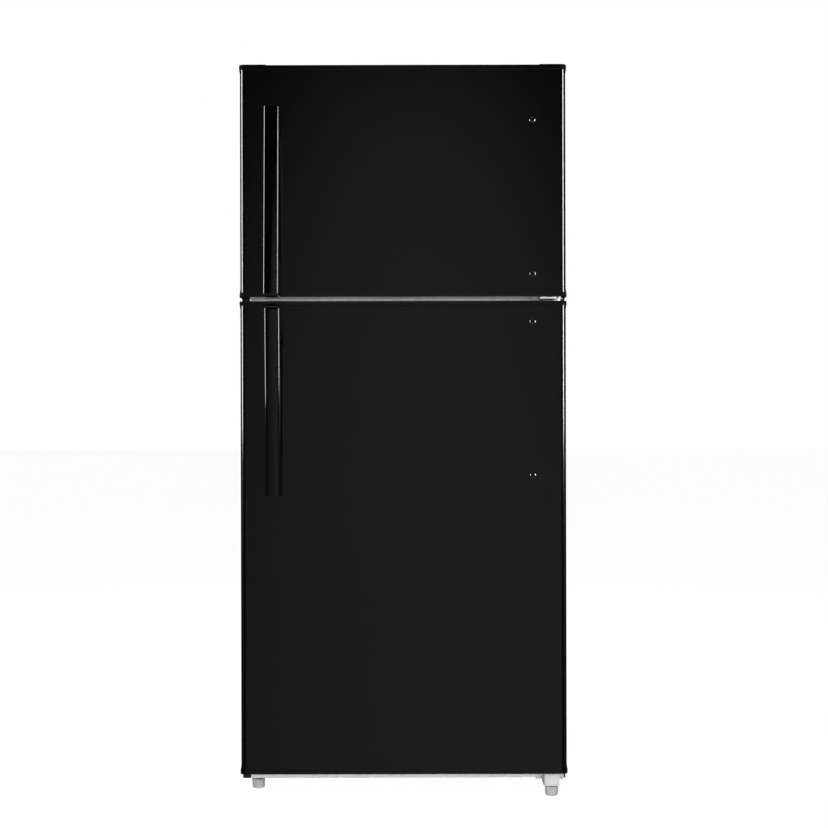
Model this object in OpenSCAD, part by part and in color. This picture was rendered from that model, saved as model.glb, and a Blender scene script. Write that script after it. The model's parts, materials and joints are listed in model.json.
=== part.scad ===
// Top freezer refrigerator, free-standing, with two reversible doors hung on the right.
// Millimetres, +Z up. The origin is on the floor under the middle of the whole outline; the doors face -Y.

/* [Overall] */
// Width over the cabinet's side panels
cab_w = 749; // [740:1:760]
// Depth from the handles' fronts to the rear cover
overall_d = 785; // [780:1:800]
// Height of the cabinet's top panel above the floor
cab_top = 1673; // [1673:1:1690]
// Height of the cabinet's underside above the floor
cab_base = 32; // [32:1:36]
// Depth of the cabinet behind its front flange
cab_depth = 650; // [648:1:652]

/* [Doors] */
// Width of the doors' steel skins
skin_w = 742; // [738:1:742]
// Width of the doors' plastic end caps
cap_w = 746; // [745:1:746]
// Thickness of each door without its seal
door_t = 56; // [56:1:58]
// Space between the doors and the cabinet, which the seals fill
seal_space = 12; // [12:0.5:13]
// Radius of the vertical front edges of the doors
edge_r = 12; // [10:1:12]
// Top of the freezer door
freezer_door_top = 1670.5; // [1669:0.5:1670.5]
// Bottom of the freezer door
freezer_door_bottom = 1143.5; // [1143:0.5:1144]
// Top of the fridge door
fridge_door_top = 1134; // [1133:0.5:1134]
// Bottom of the fridge door
fridge_door_bottom = 58.5; // [58.5:0.5:61]
// Distance of the hinge pins from the centre plane
hinge_x = 354; // [353:0.5:354]
// Distance of the hinge pins behind the doors' fronts
hinge_setback = 34; // [34:0.5:34.5]

/* [Handles] */
// Distance of the doors' blanking plugs from the centre plane
plug_x = 295; // [290:1:300]
// Distance of the freezer handle's centre line from the centre plane
freezer_handle_x = 295.5; // [293:0.5:297]
// Distance of the fridge handle's centre line from the centre plane
fridge_handle_x = 293; // [292:0.5:297]
// Width of each handle
handle_w = 35; // [34:1:38]
// Length of each handle
handle_l = 433; // [430:1:436]
// Spacing of each handle's two screws
screw_pitch = 350; // [350:1:352]
// Stand-off of the grip end's front from the door
grip_out = 55; // [50:1:56]
// Stand-off of the far end's front from the door
far_out = 33; // [32:1:36]
// Thickness of the grip bar
grip_t = 15; // [14:0.5:17]
// Lower screw of the freezer handle
freezer_screw_z = 1195; // [1194:1:1196]
// Upper screw of the fridge handle
fridge_screw_z = 1086; // [1085:1:1087]

/* [Inside] */
// Thickness of the insulated side walls
side_wall = 48; // [48:1:50]
// Height of the fridge compartment's floor
fridge_floor = 90; // [90:1:92]
// Height of the fridge compartment's ceiling
fridge_ceiling = 1108; // [1106:1:1108]
// Height of the freezer compartment's floor
freezer_floor = 1168; // [1168:1:1170]
// Height of the freezer compartment's ceiling
freezer_ceiling = 1612; // [1608:1:1612]
// Depth of both compartments
inner_depth = 590; // [585:1:590]
// Distance of the shelves' front edges behind the cabinet's front
shelf_setback = 140; // [140:1:145]
// Height of the glass over the vegetable drawers
crisper_glass_z = 288; // [288:1:290]
// Height of the middle shelf
middle_shelf_z = 545; // [530:5:560]
// Height of the upper shelf
upper_shelf_z = 800; // [780:5:820]
// Height of the freezer's wire shelf
wire_shelf_z = 1384; // [1380:1:1390]

/* [Feet and rollers] */
// Radius of the levelling feet at the top
foot_r = 16; // [15:0.5:17]
// Height of the levelling feet
foot_h = 24; // [23:0.5:24]
// Distance of the left foot, on the bottom rail, from the centre plane
left_foot_x = 343; // [342:1:344]
// Distance of the right foot, on the hinge bracket, from the centre plane
right_foot_x = 339; // [338:1:340]
// Radius of the rear rollers
roller_r = 14; // [13:0.5:14]

/* [Hidden] */
$fn = 64;
sheet = 1.2;      // steel panels
rail_t = 1.5;     // cross rails
plate_t = 3;      // hinge plates
liner_t = 2;      // plastic liners
glass_t = 4;
pin_r = 5;
stud_r = 5;
run = 0.06;       // radial clearance of everything that turns or slides in a bore
reveal = 0.5;     // joint line between a door's skin and its caps
touch = 0.3;      // gap between parts that pass each other

door_front = -overall_d / 2 + grip_out;
door_back = door_front + door_t;
cab_front = door_back + seal_space;
cab_back = cab_front + cab_depth;
half = cab_w / 2;
inner_half = half - side_wall;
inner_back = cab_front + inner_depth;
hinge_y = door_front + hinge_setback;

flange_in = half - 38;      // inner edge of the cabinet's front flange
rail_half = half - 18.5;      // the cross rails reach this far
divider_lo = fridge_ceiling + liner_t + 0.2;
divider_hi = freezer_floor - liner_t - 0.2;
sill_top = fridge_floor - liner_t;
sill_depth = 70;

step_y = 175;               // front wall of the machine compartment
step_z = 240;               // ceiling of the machine compartment
hump_y = 140;               // front of the hump inside the fridge compartment
hump_z = 284;               // top of the hump

cap_t = 9;                  // end caps' thickness as seen from the front
ear_h = 18;                 // height of the caps' tapering side ears
ear_flat = 6;               // part of that height at full width
cap_r = edge_r + 1;
pad_w = 62;                 // raised corners of the top cap
pad_h = 1.3;
boss_r = 11;
boss_h = 12;
seal_w = 16;
seal_inset = 16;            // seals' outer edges lie this far inside the doors' sides
ridge_in = 300;             // inner faces of the door liners' ridges
ridge_w = 16;
ridge_d = 38;
bin_t = 3;
bin_d = 105;

left_foot_y = door_front + 108;
right_foot_y = door_front + 41;
roller_y = cab_back - 42;
roller_x = 330;
roller_w = 20;
axle_r = 4;
shelf_front = cab_front + shelf_setback;

fan_z = 1500;
fan_y = inner_back - 62;
cover_y = inner_back - 80;  // back face of the freezer's rear cover
knob_x = 90;
knob_z = fridge_ceiling - 32;
damper_x = 210;
damper_z = 1440;
control_front = shelf_front - 5;
gland_x = -305;
gland_z = 105;
gland_bore_r = 4.5;

// ---------------------------------------------------------------- helpers

module slab(x, y, z) {
    translate([x[0], y[0], z[0]]) cube([x[1] - x[0], y[1] - y[0], z[1] - z[0]]);
}

module both_sides() {
    children();
    mirror([1, 0, 0]) children();
}

// A [y, z] outline extruded across X, as wide as twice half_w
module across(half_w, points) {
    rotate([90, 0, 90]) linear_extrude(height = 2 * half_w, center = true) polygon(points);
}

// A rod along Y
module rod_y(x, y, z, r) {
    translate([x, y[0], z]) rotate([-90, 0, 0]) cylinder(r = r, h = y[1] - y[0]);
}

// A rod along X
module rod_x(x, y, z, r) {
    translate([x[0], y, z]) rotate([0, 90, 0]) cylinder(r = r, h = x[1] - x[0]);
}

// Plan of a door: square at the back, rounded at the two front corners
module door_plan(half_w, y0, y1, r) {
    translate([-half_w, y0 + r]) square([2 * half_w, y1 - y0 - r]);
    translate([-half_w + r, y0]) square([2 * (half_w - r), r + 1]);
    for (side = [-1, 1]) translate([side * (half_w - r), y0 + r]) circle(r = r);
}

// A rectangular ring across the front, from outer to inner edge
module ring(x, z, w, y) {
    difference() {
        slab([-x, x], y, z);
        slab([-x + w, x - w], [y[0] - 1, y[1] + 1], [z[0] + w, z[1] - w]);
    }
}

// ---------------------------------------------------------------- cabinet

module cabinet_shell() color([0.04, 0.04, 0.045]) {
    both_sides() {
        slab([half - sheet, half], [cab_front, cab_back], [cab_base, cab_top]);
        slab([flange_in, half], [cab_front, cab_front + sheet], [sill_top, divider_lo]);
        slab([flange_in, half], [cab_front, cab_front + sheet], [divider_hi, cab_top]);
        slab([rail_half, half], [cab_front, cab_front + sheet], [cab_base, cab_top]);
        slab([half - 16, half], [cab_back - sheet, cab_back], [cab_base, cab_top]);
    }
    slab([-half, half], [cab_front, cab_back], [cab_top - sheet, cab_top]);
    slab([-half, half], [cab_front, cab_front + sheet], [freezer_ceiling + 10, cab_top]);
    slab([-half, half], [cab_back - sheet, cab_back], [cab_top - 16, cab_top]);
}

module back_panel() color([0.55, 0.56, 0.57]) {
    rib_bottom = step_z + 90;
    rib_top = cab_top - 110;
    difference() {
        slab([-half + 16, half - 16], [cab_back - sheet, cab_back], [step_z + 2, cab_top - 16]);
        for (x = [-240:120:240]) slab([x - 21, x + 21], [cab_back - 5, cab_back + 1], [rib_bottom, rib_top]);
    }
    for (x = [-240:120:240]) difference() {
        slab([x - 22, x + 22], [cab_back - sheet, cab_back + 3], [rib_bottom - 1, rib_top + 1]);
        slab([x - 20.8, x + 20.8], [cab_back - 5, cab_back + 3 - sheet], [rib_bottom + 0.2, rib_top - 0.2]);
    }
}

module bottom_panel() color([0.75, 0.76, 0.78]) {
    start = cab_front + sill_depth + 1;
    across(half - sheet, [
        [start, cab_base], [step_y, cab_base], [step_y, step_z - 25], [step_y + 30, step_z],
        [cab_back - sheet, step_z], [cab_back - sheet, step_z + sheet], [step_y + 29.5, step_z + sheet],
        [step_y - sheet, step_z - 24.5], [step_y - sheet, cab_base + sheet], [start, cab_base + sheet]
    ]);
}

module compressor_base() color([0.72, 0.73, 0.75]) {
    y0 = step_y + 0.5;
    y1 = cab_back - sheet - 0.3;
    wide = half - sheet - 0.3;
    slab([-wide, wide], [y0, y1], [cab_base, cab_base + 2]);
    slab([-wide, wide], [y0, y0 + 2], [cab_base, cab_base + 16]);
    slab([-wide, wide], [y1 - 2, y1], [cab_base, cab_base + 16]);
}

module insulation() color([0.93, 0.87, 0.66]) difference() {
    across(half - sheet - 0.1, [
        [cab_front + 2, cab_base + rail_t], [step_y - 1.5, cab_base + rail_t],
        [step_y - 1.5, step_z - 24.2], [step_y + 29.3, step_z + 1.5],
        [cab_back - sheet - 0.1, step_z + 1.5], [cab_back - sheet - 0.1, cab_top - sheet - 0.1],
        [cab_front + 2, cab_top - sheet - 0.1]
    ]);
    freezer_liner_block(liner_t);
    fridge_liner_block(liner_t);
    divider_rail();
    bottom_rail();
    translate([-left_foot_x, left_foot_y, cab_base]) cylinder(r = 10, h = 40);
}

// The two compartments as solid blocks, grown outwards by t
module freezer_liner_block(t) {
    slab([-inner_half - t, inner_half + t], [cab_front - 1 + (t > 0 ? 1 : 0), inner_back + t],
        [freezer_floor - t, freezer_ceiling + t]);
}

module fridge_liner_block(t) {
    front = cab_front - 1 + (t > 0 ? 1 : 0);
    chamfer = 22;
    across(inner_half + t, [
        [front, fridge_floor - t], [hump_y + t, fridge_floor - t],
        [hump_y + t, hump_z - chamfer - 0.4 * t], [hump_y + chamfer + 0.4 * t, hump_z - t],
        [inner_back + t, hump_z - t], [inner_back + t, fridge_ceiling + t], [front, fridge_ceiling + t]
    ]);
}

// Shelf ledges on both side walls, with their tops at z
module ledges(z, y1, h = 9) {
    both_sides() slab([inner_half - 10, inner_half + 1], [shelf_front + 12, y1], [z - h, z]);
}

module freezer_liner() color([0.93, 0.93, 0.92]) {
    difference() {
        freezer_liner_block(liner_t);
        freezer_liner_block(0);
    }
    both_sides() slab([inner_half, flange_in], [cab_front, cab_front + liner_t],
        [freezer_floor - liner_t, freezer_ceiling + 10]);
    slab([-flange_in, flange_in], [cab_front, cab_front + liner_t], [freezer_ceiling, freezer_ceiling + 10]);
    ledges(wire_shelf_z - 4, cover_y - 8);
}

module fridge_liner() color([0.93, 0.93, 0.92]) {
    difference() {
        fridge_liner_block(liner_t);
        fridge_liner_block(0);
    }
    both_sides() slab([inner_half, flange_in], [cab_front, cab_front + liner_t],
        [fridge_floor - liner_t, fridge_ceiling + liner_t]);
    ledges(crisper_glass_z, inner_back - 35, crisper_glass_z - hump_z);
    ledges(middle_shelf_z, inner_back - 35);
    ledges(upper_shelf_z, inner_back - 35);
}

module divider_rail() color([0.6, 0.61, 0.62]) {
    slab([-rail_half, rail_half], [cab_front, cab_front + rail_t], [divider_lo, divider_hi]);
    for (z = [divider_lo, divider_hi - rail_t])
        slab([-rail_half + 30, rail_half - 30], [cab_front, cab_front + 18], [z, z + rail_t]);
}

module bottom_rail() color([0.82, 0.83, 0.84]) difference() {
    union() {
        slab([-rail_half, rail_half], [cab_front, cab_front + rail_t], [cab_base, sill_top]);
        slab([-rail_half, rail_half], [cab_front, cab_front + sill_depth], [cab_base, cab_base + rail_t]);
        slab([-rail_half + 30, rail_half - 30], [cab_front, cab_front + 18], [sill_top - rail_t, sill_top]);
        translate([-left_foot_x, left_foot_y, cab_base]) cylinder(r = 9, h = 10);
    }
    translate([-left_foot_x, left_foot_y, cab_base - 1]) cylinder(r = stud_r + run, h = 12);
}

// ---------------------------------------------------------------- hinges

module screw_holes_z(points, z) {
    for (p = points) translate([p[0], p[1], z - 1]) cylinder(r = 2.6, h = plate_t + 2);
}

module screw_holes_y(points, y) {
    for (p = points) rod_y(p[0], [y - 1, y + plate_t + 1], p[1], 2.6);
}

top_screws = [for (x = [332, 356], y = [20, 46]) [x, cab_front + y]];
middle_screws = [[293.8, 1138], [305.7, 1138]];
bottom_screws = [for (x = [314, 361], z = [35.2, 46.6]) [x, z]];

module top_hinge() color([0.05, 0.05, 0.05]) difference() {
    union() {
        slab([320, 370], [cab_front + 4, cab_front + 60], [cab_top, cab_top + plate_t]);
        slab([334, 368], [hinge_y, cab_front + 4], [cab_top, cab_top + plate_t]);
        translate([hinge_x - 3, hinge_y, cab_top]) cylinder(r = 17, h = plate_t);
        translate([hinge_x, hinge_y, cab_top - 18]) cylinder(r = pin_r, h = 19);
    }
    screw_holes_z(top_screws, cab_top);
}

module top_hinge_cover() color([0.03, 0.03, 0.03]) {
    y0 = cab_front + 1.5;
    y1 = cab_front + 66;
    top = cab_top + 12;
    difference() {
        slab([315, half - 1.5], [y0, y1], [cab_top, top]);
        slab([317, half - 3.5], [y0 + 2, y1 - 2], [cab_top - 1, top - 2]);
        slab([317, half - 3.5], [y0 - 1, y1 - 2], [cab_top - 1, cab_top + plate_t + touch]);
    }
}

module middle_hinge() color([0.8, 0.81, 0.82]) {
    plate_z = freezer_door_bottom - plate_t - 0.4;
    nose = 23;
    difference() {
        union() {
            slab([286, 350], [cab_front - plate_t, cab_front], [1129, 1147]);
            slab([312, 366], [hinge_y, cab_front], [plate_z, plate_z + plate_t]);
            slab([312, 340], [hinge_y - nose, hinge_y + 1], [plate_z, plate_z + plate_t]);
            slab([339, 354], [hinge_y - nose + 14, hinge_y + 1], [plate_z, plate_z + plate_t]);
            translate([340, hinge_y - nose + 14, plate_z]) cylinder(r = 14, h = plate_t);
            translate([hinge_x, hinge_y, plate_z]) cylinder(r = 12, h = plate_t);
            translate([hinge_x, hinge_y, plate_z - 18]) cylinder(r = pin_r, h = 2 * 17 + plate_t);
            translate([hinge_x, hinge_y, fridge_door_top + 1])
                cylinder(r = 8, h = plate_z - fridge_door_top);
        }
        screw_holes_y(middle_screws, cab_front - plate_t);
    }
}

// Bracket of the bottom hinge: a bent box that carries the pin above and the right foot below
module bottom_hinge() color([0.84, 0.86, 0.87]) {
    plate_top = fridge_door_bottom - 3;
    tray_z = foot_h + 1;
    y0 = door_front + 22;
    bend = 5;
    difference() {
        union() {
            slab([305, 320], [cab_front - plate_t, cab_front], [29.5, plate_top]);
            slab([351, rail_half + 14], [cab_front - plate_t, cab_front], [29.5, plate_top]);
            translate([0, 0, plate_top - plate_t])
                linear_extrude(height = plate_t) bracket_plan(368, y0, bend);
            translate([0, 0, tray_z]) linear_extrude(height = plate_t) bracket_plan(356, y0, bend);
            translate([0, 0, tray_z]) linear_extrude(height = plate_top - tray_z) difference() {
                bracket_plan(356, y0, bend);
                bracket_plan(360, y0, bend, plate_t);
            }
            translate([hinge_x, hinge_y, plate_top - 1]) cylinder(r = pin_r, h = 18);
            translate([hinge_x, hinge_y, plate_top - 1]) cylinder(r = 8, h = 3);
        }
        translate([right_foot_x, right_foot_y, tray_z - 1]) cylinder(r = stud_r + run, h = plate_t + 2);
        screw_holes_y(bottom_screws, cab_front - plate_t);
    }
}

// Plan of the bracket, set in by t at the front and the left
module bracket_plan(x1, y0, bend, t = 0) {
    x0 = 320 + t;
    translate([x0 + bend - t, y0 + bend]) circle(r = bend - t);
    translate([x0 + bend - t, y0 + t]) square([x1 - x0 - bend + t, cab_front - y0 - t]);
    translate([x0, y0 + bend]) square([10, cab_front - y0 - bend]);
}

// Screw with a hexagonal washer head
module hinge_screw(length) {
    translate([0, 0, -length]) cylinder(r = 2.5, h = length);
    cylinder(r = 5.6, h = 1.1);
    cylinder(r = 4.4, h = 3.4, $fn = 6);
}

module hinge_screws() color([0.7, 0.7, 0.72]) {
    for (p = top_screws) translate([p[0], p[1], cab_top + plate_t]) hinge_screw(plate_t);
    for (p = concat(middle_screws, bottom_screws))
        translate([p[0], cab_front - plate_t, p[1]]) rotate([90, 0, 0]) hinge_screw(plate_t);
}

// Buttons that close the left-hand hinge holes of the reversible cabinet
module hinge_hole_plugs() color([0.03, 0.03, 0.03]) {
    for (p = top_screws) translate([-p[0], p[1], cab_top]) {
        cylinder(r = 7, h = 1.2);
        translate([0, 0, 1.2]) cylinder(r1 = 6, r2 = 4.5, h = 1.3);
    }
}

// A shallow domed button standing on z = 0
module button(r, h) {
    ball = (r * r + h * h) / (2 * h);
    intersection() {
        translate([0, 0, h - ball]) sphere(r = ball, $fn = 96);
        cylinder(r = r + 1, h = h + 1);
    }
}

// ---------------------------------------------------------------- cooling parts

module evaporator_cover() color([0.9, 0.9, 0.9]) {
    y0 = cover_y - 4;
    bulge = 12;
    difference() {
        union() {
            slab([-inner_half + 0.5, inner_half - 0.5], [y0, cover_y],
                [freezer_floor + 0.5, freezer_ceiling - 0.5]);
            slab([-150, 150], [y0 - bulge, y0], [fan_z - 85, fan_z + 75]);
            slab([damper_x - 40, damper_x + 40], [y0 - bulge, y0], [damper_z - 40, damper_z + 40]);
        }
        slab([-147, 147], [y0 - bulge + 3, cover_y + 1], [fan_z - 82, fan_z + 72]);
        for (i = [0:6]) slab([-110, 110], [y0 - bulge - 1, cover_y + 1],
            [fan_z - 60 + 18 * i, fan_z - 52 + 18 * i]);
        for (i = [0:2]) slab([-260, 260], [y0 - 1, cover_y + 1],
            [freezer_floor + 20 + 16 * i, freezer_floor + 27 + 16 * i]);
        rod_y(damper_x, [y0 - bulge - 1, cover_y + 1], damper_z, 3 + run);
    }
}

// Finned coil: a serpentine of tubes through a stack of fins
module evaporator() color([0.75, 0.77, 0.8]) {
    rows = [for (i = [0:4]) freezer_floor + 72 + 34 * i];
    tube_y = inner_back - 38;
    for (x = [-220:22:220]) slab([x - 0.6, x + 0.6], [tube_y - 24, tube_y + 24],
        [freezer_floor + 50, freezer_floor + 228]);
    for (z = rows) rod_x([-238, 238], tube_y, z, 4);
    for (i = [0:len(rows) - 2]) {
        side = i % 2 == 0 ? 1 : -1;
        translate([side * 238, tube_y, (rows[i] + rows[i + 1]) / 2]) rotate([90, 0, side > 0 ? 0 : 180])
            rotate(-90) rotate_extrude(angle = 180) translate([17, 0]) circle(r = 4, $fn = 32);
    }
}

module fan_motor() color([0.3, 0.31, 0.33]) {
    rod_y(0, [fan_y + 12, inner_back - 14], fan_z, 24);
    slab([-34, 34], [inner_back - 14, inner_back - touch], [fan_z - 34, fan_z + 34]);
    rod_y(0, [fan_y - 8, fan_y + 13], fan_z, 2);
}

module fan_blade() color([0.85, 0.85, 0.83]) {
    difference() {
        union() {
            rod_y(0, [fan_y - 10, fan_y + 8], fan_z, 15);
            for (turn = [0:72:288]) translate([0, fan_y - 1, fan_z]) rotate([0, turn, 0])
                translate([12, 0, 0]) rotate([30, 0, 0]) translate([0, -1, -17]) cube([42, 2, 34]);
        }
        rod_y(0, [fan_y - 9, fan_y + 9], fan_z, 2 + run);
    }
}

module compressor() color([0.06, 0.06, 0.065]) {
    base = cab_base + 2;
    translate([170, (step_y + cab_back) / 2, base]) {
        translate([0, 0, 14]) rotate_extrude($fn = 96) polygon(concat(
            [[0, 0]], [for (a = [-90:10:0]) [52 + 20 * cos(a), 20 + 20 * sin(a)]],
            [for (a = [0:10:90]) [42 + 30 * cos(a), 110 + 30 * sin(a)]], [[0, 140]]));
        translate([-80, -62, 8]) cube([160, 124, 7]);
        for (x = [-66, 66], y = [-48, 48]) translate([x, y, 0]) cylinder(r = 11, h = 9);
        translate([-118, -28, 40]) cube([52, 56, 60]);
    }
}

module drip_tray() color([0.1, 0.1, 0.1]) {
    x = [85, 255];
    y = [step_y + 36, cab_back - 36];
    z = cab_base + 2 + 14 + 141;
    difference() {
        slab(x, y, [z, z + 32]);
        slab([x[0] + 2, x[1] - 2], [y[0] + 2, y[1] - 2], [z + 2, z + 33]);
    }
}

module machine_cover() color([0.2, 0.2, 0.21]) {
    wide = half - 22;
    z = [cab_base + 6, step_z + 14];
    bulge = overall_d / 2 - cab_back;
    inner = 30;
    difference() {
        union() {
            slab([-wide, wide], [cab_back, cab_back + sheet], z);
            slab([-wide + inner, wide - inner], [cab_back, cab_back + bulge], [z[0] + 20, z[1] - 24]);
        }
        slab([-wide + inner + sheet, wide - inner - sheet], [cab_back - 1, cab_back + bulge - sheet],
            [z[0] + 20 + sheet, z[1] - 24 - sheet]);
        for (column = [-190, 0, 190], i = [0:7])
            slab([column - 70, column + 70], [cab_back - 1, cab_back + bulge + 1],
                [z[0] + 42 + 18 * i, z[0] + 49 + 18 * i]);
        rod_y(gland_x, [cab_back - 1, cab_back + bulge + 1], gland_z, 8 + run);
    }
}

// Flanged bush through the rear cover, where the supply cord leaves
module cord_gland() color([0.03, 0.03, 0.03]) {
    out = overall_d / 2;
    difference() {
        union() {
            rod_y(gland_x, [out - 14, out], gland_z, 8);
            rod_y(gland_x, [out - sheet - 4, out - sheet - touch / 3], gland_z, 12);
        }
        rod_y(gland_x, [out - 15, out + 1], gland_z, gland_bore_r);
    }
}

module roller_brackets() color([0.7, 0.71, 0.73]) both_sides() {
    for (side = [-1, 1]) {
        x = roller_x + side * (roller_w / 2 + 2.5);
        slab([x - 1.2, x + 1.2], [roller_y - 12, roller_y + 12], [roller_r - 8, cab_base]);
    }
    slab([roller_x - 18, roller_x + 18], [roller_y - 12, roller_y + 12], [cab_base - 2, cab_base]);
    rod_x([roller_x - 16, roller_x + 16], roller_y, roller_r, axle_r);
}

module roller(side) color([0.12, 0.12, 0.12]) difference() {
    rod_x([side * roller_x - roller_w / 2, side * roller_x + roller_w / 2], roller_y, roller_r, roller_r);
    rod_x([side * roller_x - 20, side * roller_x + 20], roller_y, roller_r, axle_r + run);
}

// ---------------------------------------------------------------- inside

module freezer_shelf() color([0.92, 0.92, 0.92]) {
    y = [shelf_front + 16, cover_y - 22];
    wide = inner_half - 5;
    for (yy = y) rod_x([-wide, wide], yy, wire_shelf_z, 3.5);
    for (x = [-wide + 3:26.5:wide]) rod_y(x, y, wire_shelf_z + 3, 2);
    rod_x([-wide, wide], y[0] - 1.5, wire_shelf_z - 16, 3);
    for (x = [-200, 0, 200]) translate([x, y[0] - 0.5, wire_shelf_z - 17]) cylinder(r = 2, h = 18);
}

module control_housing() color([0.9, 0.9, 0.9]) difference() {
    slab([-160, 160], [control_front, control_front + 150], [fridge_ceiling - 58, fridge_ceiling - touch]);
    slab([-156, 156], [control_front + 4, control_front + 146], [fridge_ceiling - 54, fridge_ceiling - 4]);
    slab([-120, 30], [control_front - 1, control_front + 5], [fridge_ceiling - 52, fridge_ceiling - 14]);
    rod_y(knob_x, [control_front - 1, control_front + 5], knob_z, 3 + run);
}

module lamp_lens() color([0.95, 0.96, 0.97]) {
    slab([-119.5, 29.5], [control_front - 2, control_front + 4],
        [fridge_ceiling - 51.5, fridge_ceiling - 14.5]);
}

module temperature_knob() color([0.82, 0.83, 0.84]) {
    front = control_front - touch - 16;
    rod_y(knob_x, [front + 6, control_front - touch], knob_z, 19);
    rod_y(knob_x, [front + 5, control_front + 10], knob_z, 3);
    intersection() {
        rod_y(knob_x, [front, front + 8], knob_z, 19);
        slab([knob_x - 4, knob_x + 4], [front, front + 8], [knob_z - 20, knob_z + 20]);
    }
}

module air_duct() color([0.88, 0.88, 0.88]) {
    y0 = inner_back - 25;
    z = [hump_z + 14, fridge_ceiling - 6];
    difference() {
        slab([-95, 95], [y0, inner_back - touch], z);
        slab([-92, 92], [y0 + 3, inner_back + 1], [z[0] + 3, z[1] - 3]);
        for (zz = [middle_shelf_z - 80, upper_shelf_z - 80, upper_shelf_z + 170], i = [-1, 1])
            slab([i * 45 - 35, i * 45 + 35], [y0 - 1, y0 + 4], [zz, zz + 14]);
    }
}

module shelf_glass(z) color([0.75, 0.85, 0.83, 0.5])
    slab([-inner_half + 6, inner_half - 6], [shelf_front + 14, inner_back - 40], [z, z + glass_t]);

// Front rail clipped over the edge of a glass shelf
module shelf_trim(z) {
    wide = inner_half - 4;
    difference() {
        slab([-wide, wide], [shelf_front, shelf_front + 26], [z - 5, z + glass_t + 4]);
        slab([-wide - 1, wide + 1], [shelf_front + 14, shelf_front + 27], [z, z + glass_t]);
        both_sides() slab([inner_half - 10.5, inner_half], [shelf_front + 11.5, shelf_front + 27],
            [z - 6, z + 0.01]);
    }
}

module shelf_trims() color([0.9, 0.91, 0.91])
    for (z = [crisper_glass_z, middle_shelf_z, upper_shelf_z]) shelf_trim(z);

// Open-topped drawer with a finger scoop in its front
module crisper(side) color([0.8, 0.86, 0.9, 0.6]) {
    x = side > 0 ? [9, inner_half - 12] : [-inner_half + 12, -9];
    y = [shelf_front + 1, hump_y - 6];
    z = [fridge_floor + touch, crisper_glass_z - 16];
    middle = (x[0] + x[1]) / 2;
    difference() {
        union() {
            slab([x[0] + 4, x[1] - 4], [y[0] + 2, y[1]], z);
            slab(x, [y[0], y[0] + 5], [z[0], z[1] + 6]);
        }
        slab([x[0] + 6.5, x[1] - 6.5], [y[0] + 5, y[1] - 2.5], [z[0] + 2.5, z[1] + 10]);
        translate([middle, y[0] - 1, z[1] + 30]) rotate([-90, 0, 0]) cylinder(r = 48, h = 8, $fn = 96);
    }
}

// ---------------------------------------------------------------- doors

module door_skin(z) color([0.035, 0.035, 0.04]) {
    linear_step = [z[0] + cap_t + reveal, z[1] - cap_t - reveal];
    translate([0, 0, linear_step[0]]) linear_extrude(height = linear_step[1] - linear_step[0]) difference() {
        door_plan(skin_w / 2, door_front, door_back - liner_t, edge_r);
        door_plan(skin_w / 2 - sheet, door_front + sheet, door_back - liner_t + 1, edge_r - sheet);
    }
}

module door_foam(z) color([0.93, 0.87, 0.66]) difference() {
    gap = 0.1;
    translate([0, 0, z[0] + cap_t + gap]) linear_extrude(height = z[1] - z[0] - 2 * (cap_t + gap))
        door_plan(skin_w / 2 - sheet - gap, door_front + sheet + gap, door_back - liner_t - gap,
            edge_r - sheet);
    for (zz = [z[0] + cap_t, z[1] - cap_t - boss_h - 1]) translate([hinge_x, hinge_y, zz])
        cylinder(r = boss_r + gap, h = boss_h + 1);
}

// End cap with ears over the skin's sides and a boss for the hinge pin; up is +1 for a bottom cap
module door_cap(z, up) color([0.03, 0.03, 0.03]) {
    plate = up > 0 ? [z, z + cap_t] : [z - cap_t, z];
    boss = up > 0 ? [z, z + cap_t + boss_h] : [z - cap_t - boss_h, z];
    difference() {
        union() {
            translate([0, 0, plate[0]]) linear_extrude(height = cap_t)
                door_plan(cap_w / 2, door_front, door_back, cap_r);
            both_sides() translate([0, door_back, z]) mirror([0, 0, up > 0 ? 0 : 1]) rotate([90, 0, 0])
                linear_extrude(height = door_t - cap_r) polygon([[skin_w / 2, 0], [cap_w / 2, 0],
                    [cap_w / 2, ear_flat], [skin_w / 2 + 0.4, ear_h], [skin_w / 2, ear_h]]);
            translate([hinge_x, hinge_y, boss[0]]) cylinder(r = boss_r, h = boss[1] - boss[0]);
        }
        translate([hinge_x, hinge_y, up > 0 ? z - 1 : z - 18.5]) cylinder(r = pin_r + run, h = 19.5);
        if (up > 0 && z == freezer_door_bottom || up < 0 && z == fridge_door_top)
            translate([hinge_x, hinge_y, up > 0 ? z - 1 : z - 0.5]) cylinder(r = 9, h = 1.5);
    }
}

module top_cap_pads() both_sides() {
    translate([0, 0, freezer_door_top - 0.5]) linear_extrude(height = pad_h + 0.5) intersection() {
        door_plan(cap_w / 2, door_front, door_back, cap_r);
        translate([cap_w / 2 - pad_w, door_front - 1]) square([pad_w, door_t + 2]);
    }
}

module freezer_door_top_cap() color([0.03, 0.03, 0.03]) difference() {
    union() {
        door_cap(freezer_door_top, -1);
        top_cap_pads();
    }
    translate([hinge_x, hinge_y, freezer_door_top - 2]) cylinder(r = pin_r + run, h = 6);
}

// Inner panel with a raised ridge all round, which the bins hang between
module door_liner(z, ridge_z) color([0.93, 0.93, 0.92]) {
    slab([-skin_w / 2 + 0.2, skin_w / 2 - 0.2], [door_back - liner_t, door_back],
        [z[0] + cap_t + 0.2, z[1] - cap_t - 0.2]);
    ring(ridge_in + ridge_w, ridge_z, ridge_w, [door_back - 0.5, door_back + ridge_d]);
}

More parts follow.
